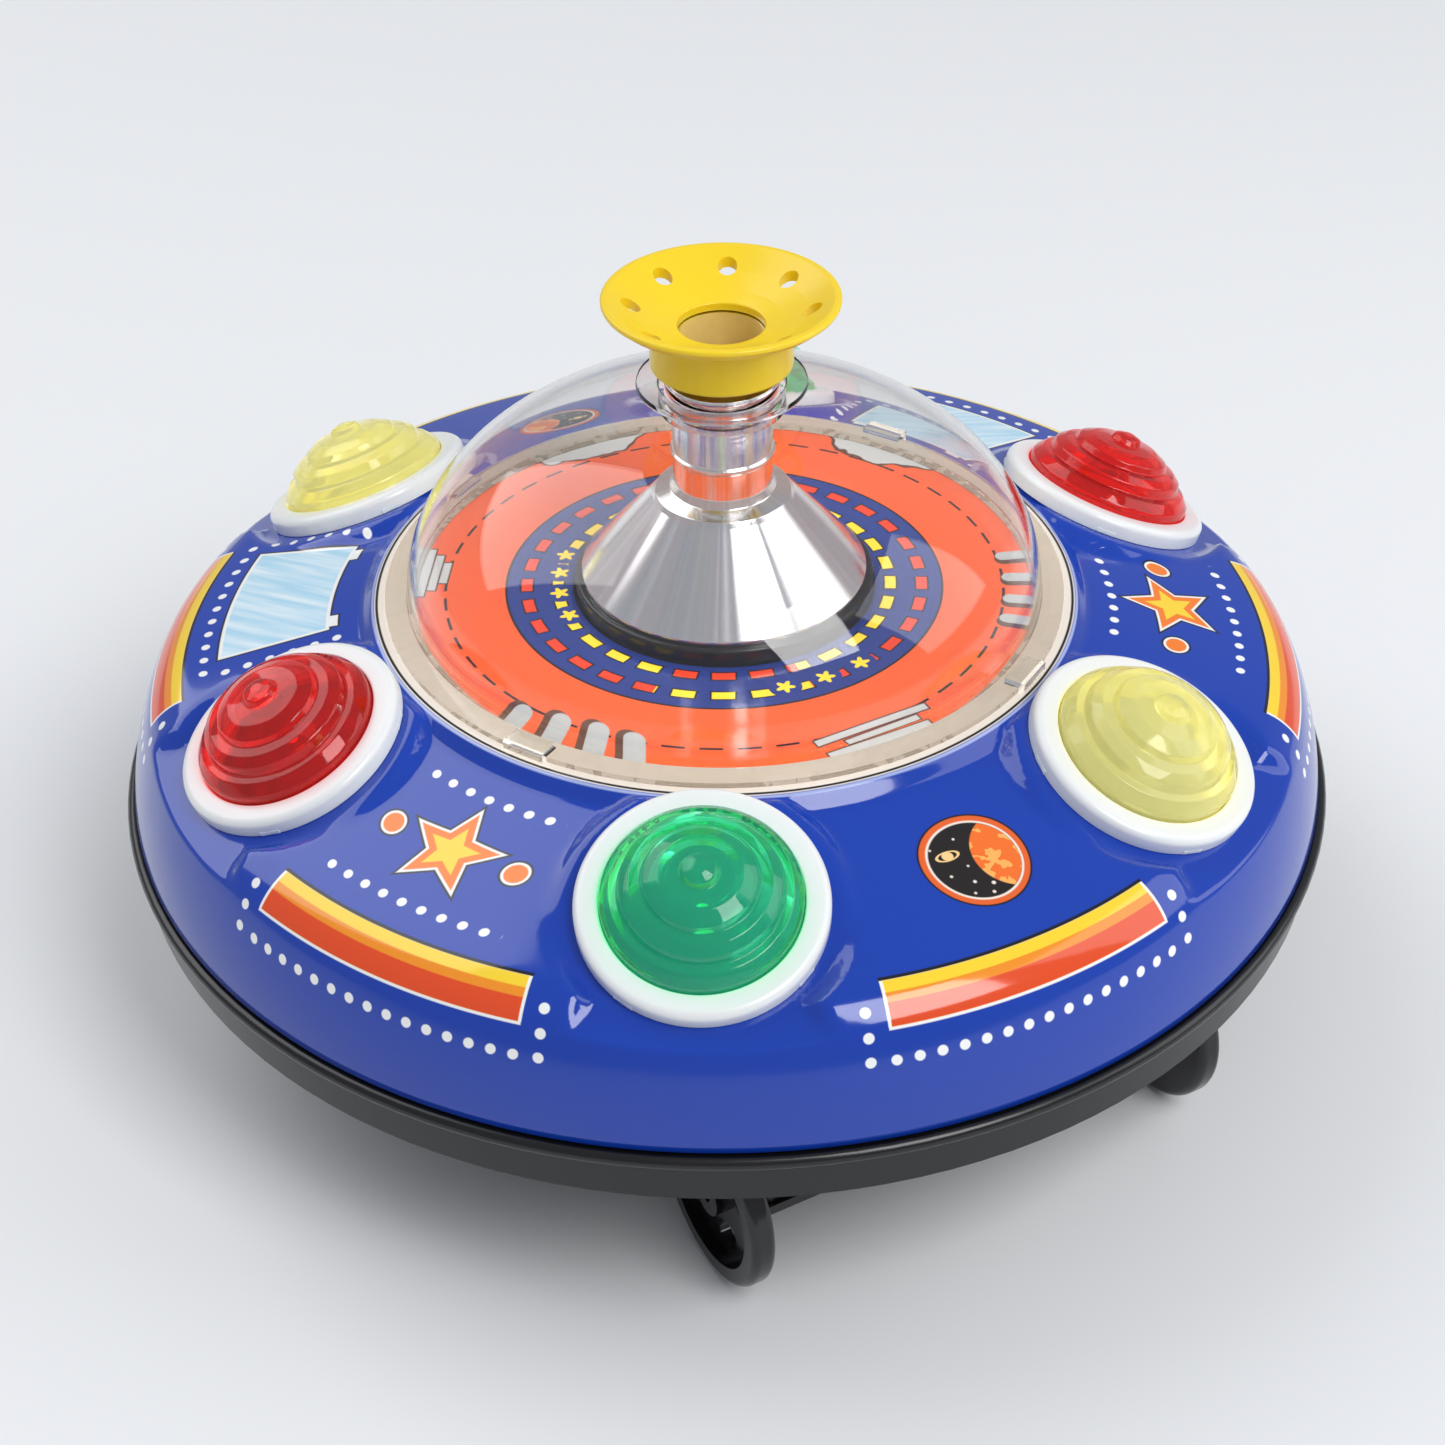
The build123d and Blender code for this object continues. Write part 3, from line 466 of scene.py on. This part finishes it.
deck = ink.mix(ink.inked(ink.sub(ink.math("ABSOLUTE", ink.sub(radius, 55.6)), 0.22)), deck, BLACK)
on_deck = ink.inked(ink.sub(radius, 56.0))
paint = ink.mix(on_deck, paint, deck)
# Painted highlight: a thin pale blue line along the rolled deck edge, where light catches the bend.
rim_highlight = ink.sub(ink.math("ABSOLUTE", ink.sub(radius, 56.3)), 0.2)
paint = ink.mix(ink.inked(rim_highlight), paint, (0.35, 0.42, 0.70, 1))

smudge = ink.node("ShaderNodeTexNoise")
smudge.inputs["Scale"].default_value = 45
smudge.inputs["Detail"].default_value = 6
ink.put(smudge.inputs["Vector"], where)
close(litho, ink, [paint, ink.math("MULTIPLY_ADD", smudge.outputs[0], 0.10, 0.06)])

tin = bpy.data.materials.new("litho_tin")
tin.use_nodes = True
shader = tin.node_tree.nodes["Principled BSDF"]
printed = tin.node_tree.nodes.new("ShaderNodeGroup")
printed.node_tree = litho
tin.node_tree.links.new(printed.outputs[0], shader.inputs["Base Color"])
tin.node_tree.links.new(printed.outputs[1], shader.inputs["Roughness"])
shader.inputs["Coat Weight"].default_value = 0.35
shader.inputs["Coat Roughness"].default_value = 0.04
shader.inputs["IOR"].default_value = 1.45
waves = tin.node_tree.nodes.new("ShaderNodeTexNoise")
waves.inputs["Scale"].default_value = 55
bump = tin.node_tree.nodes.new("ShaderNodeBump")
bump.inputs["Strength"].default_value = 0.10
bump.inputs["Distance"].default_value = 0.001
coords = tin.node_tree.nodes.new("ShaderNodeTexCoord")
tin.node_tree.links.new(coords.outputs["Object"], waves.inputs["Vector"])
tin.node_tree.links.new(waves.outputs[0], bump.inputs["Height"])
tin.node_tree.links.new(bump.outputs[0], shader.inputs["Normal"])
tin.node_tree.links.new(bump.outputs[0], shader.inputs["Coat Normal"])
shell.data.materials.append(tin)
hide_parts("tin_shell")
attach(shell, "saucer")


# ------------------------------------------------------------------ lamp bezels
# Glossy white moulded rings that trap the lenses. A rounded outer shoulder falls to the pad, and four small
# snap tabs are joined at the lower edge.
def rounded(corners, steps=5):
    """Closed outline of (r, z, rounding) corners as a list of points."""
    points = []
    for index, (x, y, size) in enumerate(corners):
        here = Vector((x, y))
        if size == 0:
            points.append((x, y))
            continue
        before = (Vector(corners[index - 1][:2]) - here).normalized()
        after = (Vector(corners[(index + 1) % len(corners)][:2]) - here).normalized()
        half = before.angle(after) / 2
        reach = size / math.tan(half)
        start, end = here + before * reach, here + after * reach
        centre = here + (before + after).normalized() * (size / math.sin(half))
        for step in range(steps + 1):
            t = step / steps
            spoke = (start - centre).lerp(end - centre, t).normalized() * size
            points.append(tuple(centre + spoke))
    return points


def lathe(name, outline, steps=96, crease=35):
    """Closed (radius, height) outline in mm turned about Z with the spin tool."""
    mesh = bpy.data.meshes.new(name)
    count = len(outline)
    mesh.from_pydata([(r / 1000, 0, z / 1000) for r, z in outline],
                     [(i, (i + 1) % count) for i in range(count)], [])
    obj = bpy.data.objects.new(name, mesh)
    bpy.context.scene.collection.objects.link(obj)
    pick(obj)
    bpy.ops.object.mode_set(mode="EDIT")
    bpy.ops.mesh.select_all(action="SELECT")
    bpy.ops.mesh.spin(steps=steps, angle=2 * math.pi, center=(0, 0, 0), axis=(0, 0, 1))
    bpy.ops.mesh.select_all(action="SELECT")
    bpy.ops.mesh.remove_doubles(threshold=0.000002)
    bpy.ops.mesh.dissolve_degenerate(threshold=0.000001)
    bpy.ops.mesh.normals_make_consistent(inside=False)
    bpy.ops.object.mode_set(mode="OBJECT")
    bpy.ops.object.shade_smooth_by_angle(angle=math.radians(crease))
    return obj


def onto_lamp(obj, index):
    """Carry an object turned about Z onto a lamp's axis, and bake the move into its mesh."""
    seat, x, y, up = lamp_frame(index)
    columns = [list(x), list(y), list(up)]
    turn = Matrix(columns).transposed().to_4x4()
    obj.matrix_world = Matrix.Translation(Vector(seat / 1000)) @ turn
    pick(obj)
    bpy.ops.object.transform_apply(location=True, rotation=True, scale=True)


def finish_of(name, colour, rough=0.3, metal=0.0, spread=0.06, tint=0.0, scale=120, ripple=0.0, **sockets):
    """Principled material whose roughness, colour and relief vary with fine noise."""
    made = bpy.data.materials.new(name)
    made.use_nodes = True
    tree = made.node_tree
    shader = tree.nodes["Principled BSDF"]
    noise = tree.nodes.new("ShaderNodeTexNoise")
    noise.inputs["Scale"].default_value = scale
    noise.inputs["Detail"].default_value = 5
    coords = tree.nodes.new("ShaderNodeTexCoord")
    tree.links.new(coords.outputs["Object"], noise.inputs["Vector"])
    level = tree.nodes.new("ShaderNodeMath")
    level.operation = "MULTIPLY_ADD"
    level.inputs[1].default_value = spread
    level.inputs[2].default_value = rough - spread / 2
    tree.links.new(noise.outputs[0], level.inputs[0])
    tree.links.new(level.outputs[0], shader.inputs["Roughness"])
    blend = tree.nodes.new("ShaderNodeMix")
    blend.data_type = "RGBA"
    blend.inputs[6].default_value = (*colour, 1)
    blend.inputs[7].default_value = (*[max(0, c * (1 - tint)) for c in colour], 1)
    tree.links.new(noise.outputs[0], blend.inputs[0])
    tree.links.new(blend.outputs[2], shader.inputs["Base Color"])
    shader.inputs["Metallic"].default_value = metal
    if ripple:
        relief = tree.nodes.new("ShaderNodeBump")
        relief.inputs["Strength"].default_value = ripple
        relief.inputs["Distance"].default_value = 0.0005
        tree.links.new(noise.outputs[0], relief.inputs["Height"])
        tree.links.new(relief.outputs[0], shader.inputs["Normal"])
    for label, value in sockets.items():
        shader.inputs[label.replace("_", " ")].default_value = value
    return made


white = finish_of("white_plastic", (0.80, 0.82, 0.82), 0.22, spread=0.08, tint=0.03, ripple=0.05,
                  Subsurface_Weight=0.12, Subsurface_Scale=0.002)
bezel_outline = rounded([
    (14.35, 1.1, 0), (14.35, 3.04, 0.35), (17.95, 3.04, 1.2),
    (17.95, 0.02, 0.15), (16.0, 0.02, 0), (16.0, 1.1, 0),
])
for lamp in range(LAMPS):
    ring = lathe(f"bezel_ring_{lamp + 1}", bezel_outline, 120)
    tabs = []
    for turn in (55, 145, 235, 325):
        bpy.ops.mesh.primitive_cube_add(size=1)
        tab = bpy.context.object
        tab.scale = (0.0011, 0.0034, 0.0009)
        at_angle = math.radians(turn)
        tab.location = (0.01745 * math.cos(at_angle), 0.01745 * math.sin(at_angle), 0.00046)
        tab.rotation_euler = (0, 0, math.radians(turn))
        bevel = tab.modifiers.new("bevel", "BEVEL")
        bevel.width = 0.0002
        bevel.segments = 2
        pick(tab)
        bpy.ops.object.transform_apply(location=True, rotation=True, scale=True)
        bpy.ops.object.modifier_apply(modifier="bevel")
        tabs.append(tab)
    pick(ring)
    for tab in tabs:
        tab.select_set(True)
    bpy.ops.object.join()
    onto_lamp(ring, lamp)
    ring.data.materials.append(white)
    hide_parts(f"bezel_{lamp + 1}")
    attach(ring, "saucer")


# ------------------------------------------------------------------ lenses
# Clear coloured styrene, moulded in rounded steps that end in a small nipple. The back is hollow
# with a plain cone, so the steps show as bright and dark rings.
def clear_plastic(name, colour, rough=0.03, shade=0.6, clear=1.0, **sockets):
    """Transmissive plastic that lets tinted light through its shadow."""
    made = finish_of(name, colour, rough, spread=0.02, scale=90, Transmission_Weight=clear, **sockets)
    tree = made.node_tree
    shader = tree.nodes["Principled BSDF"]
    output = tree.nodes["Material Output"]
    see_through = tree.nodes.new("ShaderNodeBsdfTransparent")
    see_through.inputs[0].default_value = (*[shade * c + (1 - shade) for c in colour], 1)
    rays = tree.nodes.new("ShaderNodeLightPath")
    choose = tree.nodes.new("ShaderNodeMixShader")
    tree.links.new(rays.outputs["Is Shadow Ray"], choose.inputs[0])
    tree.links.new(shader.outputs[0], choose.inputs[1])
    tree.links.new(see_through.outputs[0], choose.inputs[2])
    tree.links.new(choose.outputs[0], output.inputs["Surface"])
    return made


lens_looks = {
    "green": clear_plastic("lens_green", (0.08, 0.92, 0.46), 0.04, 0.88, 0.86, IOR=1.42),
    "yellow": clear_plastic("lens_yellow", (1.00, 0.95, 0.42), 0.04, 0.95, 0.66, IOR=1.42),
    "red": clear_plastic("lens_red", (0.96, 0.045, 0.035), 0.04, 0.88, 0.84, IOR=1.42),
}
lens_outline = rounded([
    (15.7, 0.05, 0), (15.7, 1.0, 0), (14.2, 1.0, 0), (14.2, 4.3, 0.9), (12.8, 5.9, 0.6), (11.6, 6.1, 0.3),
    (11.3, 7.7, 0.7), (9.9, 8.7, 0.5), (8.3, 8.9, 0.3), (7.9, 10.0, 0.6), (5.8, 11.0, 1.4), (2.8, 11.3, 0.3),
    (2.3, 12.3, 0.6), (0.9, 12.72, 0.3), (0.0, 12.72, 0),
    (0.0, 9.6, 0), (4.6, 9.3, 0.8), (7.6, 7.4, 0.5), (10.8, 4.6, 0.5), (12.8, 2.6, 0.4), (12.9, 0.05, 0),
])
lens_nodes = {}
for name in frame["nodes"]:
    if name.startswith("lens_"):
        lens_nodes[int(name.split("_")[1]) - 1] = name
for lamp in range(LAMPS):
    tone = lens_nodes[lamp].split("_")[2]
    piece = lathe(f"lens_cap_{lamp + 1}", lens_outline, 96, crease=50)
    onto_lamp(piece, lamp)
    piece.data.materials.append(lens_looks[tone])
    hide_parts(lens_nodes[lamp])
    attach(piece, "saucer")


# ------------------------------------------------------------------ dome
# One blown bowl of clear plastic with a foot flange, and at the top a short neck that ends in a
# flat collar round the tower.
dome_outline = [(54.2, 70.2), (54.2, 71.1), (50.8, 71.3)]
for step in range(33):
    a = math.radians(78.9 * step / 32)
    dome_outline.append((50.6 * math.cos(a), 71.9 + 31.0 * math.sin(a)))
dome_outline += [(9.66, 103.0), (9.66, 105.4), (9.9, 105.9), (13.0, 105.95)]
dome_outline += [(13.2, 106.4), (13.0, 106.95), (8.85, 107.0)]
for step in range(33):
    a = math.radians(79.7 * (1 - step / 32))
    dome_outline.append((49.6 * math.cos(a), 71.9 + 30.0 * math.sin(a)))
dome_outline += [(49.6, 70.2)]
dome = lathe("dome_bowl", dome_outline, 160, crease=40)
dome.data.materials.append(clear_plastic("clear_dome", (0.985, 0.985, 0.98), 0.015, 0.5, IOR=1.42))
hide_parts("clear_dome")
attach(dome, "saucer")


# ------------------------------------------------------------------ air tower and its foot ring
# Vacuum-plated plastic: a cone on a black ring, a slim tube with a bead half-way and a flared
# mouth that holds the funnel.
chrome = finish_of("chrome_plating", (0.86, 0.86, 0.87), 0.09, 1.0,
                   spread=0.07, tint=0.05, scale=70, ripple=0.03)
tree = chrome.node_tree
point = tree.nodes.new("ShaderNodeTexCoord")
apart = tree.nodes.new("ShaderNodeSeparateXYZ")
tree.links.new(point.outputs["Object"], apart.inputs[0])
spin = tree.nodes.new("ShaderNodeMath")
spin.operation = "ARCTAN2"
tree.links.new(apart.outputs[0], spin.inputs[0])
tree.links.new(apart.outputs[1], spin.inputs[1])
strip = tree.nodes.new("ShaderNodeCombineXYZ")
tree.links.new(spin.outputs[0], strip.inputs[0])
lines = tree.nodes.new("ShaderNodeTexNoise")
lines.inputs["Scale"].default_value = 9
lines.inputs["Detail"].default_value = 7
tree.links.new(strip.outputs[0], lines.inputs["Vector"])
streaks = tree.nodes.new("ShaderNodeMapRange")
streaks.inputs["From Min"].default_value = 0.3
streaks.inputs["From Max"].default_value = 0.7
streaks.inputs["To Min"].default_value = 0.05
streaks.inputs["To Max"].default_value = 0.26
tree.links.new(lines.outputs[0], streaks.inputs[0])
tree.links.new(streaks.outputs[0], tree.nodes["Principled BSDF"].inputs["Roughness"])
tower_outline = rounded([
    (20.6, 72.9, 0), (22.7, 72.9, 0.2), (22.7, 73.7, 0.4), (11.1, 86.7, 0.5), (10.6, 87.5, 0.4),
    (8.3, 88.3, 0.4), (7.75, 89.6, 0.4), (7.75, 93.9, 0.2), (8.1, 94.2, 0.12), (8.1, 94.8, 0.12),
    (7.75, 95.1, 0.2), (7.75, 102.6, 0.3), (8.0, 103.3, 0.2), (8.6, 106.9, 0.2), (8.6, 107.4, 0.15),
    (7.75, 107.9, 0.15), (7.75, 114.8, 0), (6.2, 114.8, 0),
    (6.2, 90.0, 0), (20.6, 74.3, 0),
])
tower = lathe("tower_shell", tower_outline, 128)
tower.data.materials.append(chrome)
# Painted reflection: the inside of the tube is coloured ochre to stand for the yellow funnel reflected in it.
inside_reflection = finish_of("painted_reflection_inside", (0.95, 0.72, 0.25), 0.45, spread=0.1, tint=0.3, scale=240)
tower.data.materials.append(inside_reflection)
for face in tower.data.polygons:
    middle_r = math.hypot(face.center.x, face.center.y)
    if face.center.z > 0.0885 and middle_r < 0.0064 and abs(face.normal.z) < 0.3:
        face.material_index = 1
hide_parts("chrome_tower")
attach(tower, "saucer")

black = finish_of("black_plastic", (0.005, 0.005, 0.006), 0.24, spread=0.14, tint=0.2, scale=160, ripple=0.06)
foot_outline = rounded([(20.6, 70.2, 0), (23.8, 70.2, 0), (23.8, 72.9, 0.6), (20.6, 72.9, 0)])
foot = lathe("foot_ring", foot_outline, 128)
foot.data.materials.append(black)
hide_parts("tower_foot_ring")
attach(foot, "saucer")


# ------------------------------------------------------------------ funnel
# Yellow moulded dish on a collar that pushes over the tower. Eight holes let the spare air out
# round the ball that floats above it.
funnel_outline = rounded([
    (9.6, 109.4, 0), (10.94, 109.4, 0.7), (10.94, 116.2, 0.5), (13.5, 117.2, 1.5), (16.4, 118.7, 2.0),
    (18.05, 120.1, 0.45), (18.05, 120.9, 0.4), (17.0, 120.9, 0.35), (15.8, 120.2, 2.0), (13.0, 118.5, 2.5),
    (9.4, 117.0, 2.0), (6.65, 116.2, 0.3), (6.65, 115.0, 0), (9.6, 115.0, 0),
])
cup = lathe("funnel_dish", funnel_outline, 128, crease=30)
holes = []
for index in range(8):
    turn = math.radians(-4.5 + 2.85 + 45 * index)
    bpy.ops.mesh.primitive_cylinder_add(vertices=32, radius=0.0015, depth=0.008,
                                        location=(0.0136 * math.sin(turn), -0.0136 * math.cos(turn), 0.1185))
    holes.append(bpy.context.object)
pick(holes[0])
for hole in holes:
    hole.select_set(True)
bpy.ops.object.join()
punch = bpy.context.object
cut = cup.modifiers.new("cut", "BOOLEAN")
cut.operation = "DIFFERENCE"
cut.solver = "EXACT"
cut.object = punch
pick(cup)
bpy.ops.object.modifier_apply(modifier="cut")
bpy.data.objects.remove(punch)
pick(cup)
bpy.ops.object.shade_smooth_by_angle(angle=math.radians(30))
yellow = finish_of("yellow_plastic", (0.90, 0.64, 0.015), 0.30, spread=0.08, tint=0.03, ripple=0.03,
                   Subsurface_Weight=0.15, Subsurface_Scale=0.003)
cup.data.materials.append(yellow)
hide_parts("funnel")
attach(cup, "saucer")


# ------------------------------------------------------------------ everything else
# The base, the wheels and the works keep the shapes they are made to and take their finishes here.
looks = {
    "black_plastic": black,
    "wheel_black": finish_of("wheel_black", (0.010, 0.010, 0.012), 0.16, spread=0.10, scale=180, ripple=0.04),
    "tyre_rubber": finish_of("tyre_rubber", (0.02, 0.02, 0.02), 0.75, tint=0.2, scale=300, ripple=0.3),
    "reflector_white": finish_of("reflector_white", (0.86, 0.87, 0.86), 0.3, 0.15, spread=0.1, scale=80),
    "bulb_glass": finish_of("bulb_glass", (0.90, 0.90, 0.88), 0.12, 0.6, spread=0.05, scale=90),
    "clear_plastic": clear_plastic("clip_plastic", (0.97, 0.97, 0.95), 0.05, 0.5, IOR=1.45),
    "grey_plastic": finish_of("grey_plastic", (0.28, 0.28, 0.29), 0.5, tint=0.1, ripple=0.1),
    "gear_nylon": finish_of("gear_nylon", (0.78, 0.76, 0.68), 0.45, tint=0.08, ripple=0.08,
                            Subsurface_Weight=0.1, Subsurface_Scale=0.001),
    "steel": finish_of("steel", (0.58, 0.59, 0.60), 0.28, 1.0, spread=0.12, tint=0.1, scale=200),
    "brass_strip": finish_of("brass_strip", (0.72, 0.55, 0.26), 0.3, 1.0, spread=0.12, tint=0.12, scale=200),
    "cell_wrap": finish_of("cell_wrap", (0.08, 0.10, 0.14), 0.28, spread=0.1, tint=0.1, scale=90),
}
slots = {entry["node"]: entry["material_slot"] for entry in frame["record"]["subparts"]}
for name, node in frame["nodes"].items():
    look = looks.get(slots[name])
    if look is None:
        continue
    node.data.materials.clear()
    node.data.materials.append(look)


# ------------------------------------------------------------------ table, light and camera
# A pale flat table, two large soft lamps and a low fill.
bpy.ops.mesh.primitive_plane_add(size=6, location=(0, 1.2, 0))
floor = bpy.context.object
floor.name = "table"
table_look = finish_of("table", (0.80, 0.81, 0.82), 0.6, spread=0.1, tint=0.01, scale=3)
floor.data.materials.append(table_look)


def soft_lamp(name, spot, aim, size, watts, tone=(1, 1, 1)):
    """Rectangular area lamp at spot that faces aim."""
    lamp = bpy.data.lights.new(name, "AREA")
    lamp.shape = "RECTANGLE"
    lamp.size, lamp.size_y = size
    lamp.energy = watts
    lamp.color = tone
    obj = bpy.data.objects.new(name, lamp)
    obj.location = spot
    obj.rotation_mode = "QUATERNION"
    obj.rotation_quaternion = (Vector(aim) - Vector(spot)).to_track_quat("-Z", "Y")
    bpy.context.scene.collection.objects.link(obj)
    return obj


soft_lamp("key", (0.62, -0.70, 1.15), (0, 0, 0.06), (0.60, 0.80), 11)
soft_lamp("right", (1.05, 0.05, 0.70), (0, 0, 0.05), (0.80, 0.90), 4)
soft_lamp("left", (-0.80, 0.45, 1.00), (0, 0, 0.05), (1.00, 1.10), 7)
world = bpy.data.worlds.new("room")
world.use_nodes = True
world.node_tree.nodes["Background"].inputs[0].default_value = (0.90, 0.93, 1.0, 1)
world.node_tree.nodes["Background"].inputs[1].default_value = 0.42
bpy.context.scene.world = world
bpy.context.scene.view_settings.view_transform = "Standard"

camera_data = bpy.data.cameras.new("camera")
camera_data.sensor_width = 36
camera_data.lens = 62.24
camera_data.clip_start = 0.01
camera_data.clip_end = 20
camera = bpy.data.objects.new("camera", camera_data)
bpy.context.scene.collection.objects.link(camera)
camera.location = (0.01616, -0.33584, 0.29095)
camera.rotation_mode = "XYZ"
pitch = Matrix.Rotation(math.radians(53.46), 4, "X")
roll = Matrix.Rotation(-0.0123, 4, "Z")
camera.rotation_euler = (Matrix.Rotation(math.radians(2.85), 4, "Z") @ pitch @ roll).to_euler()
bpy.context.scene.camera = camera
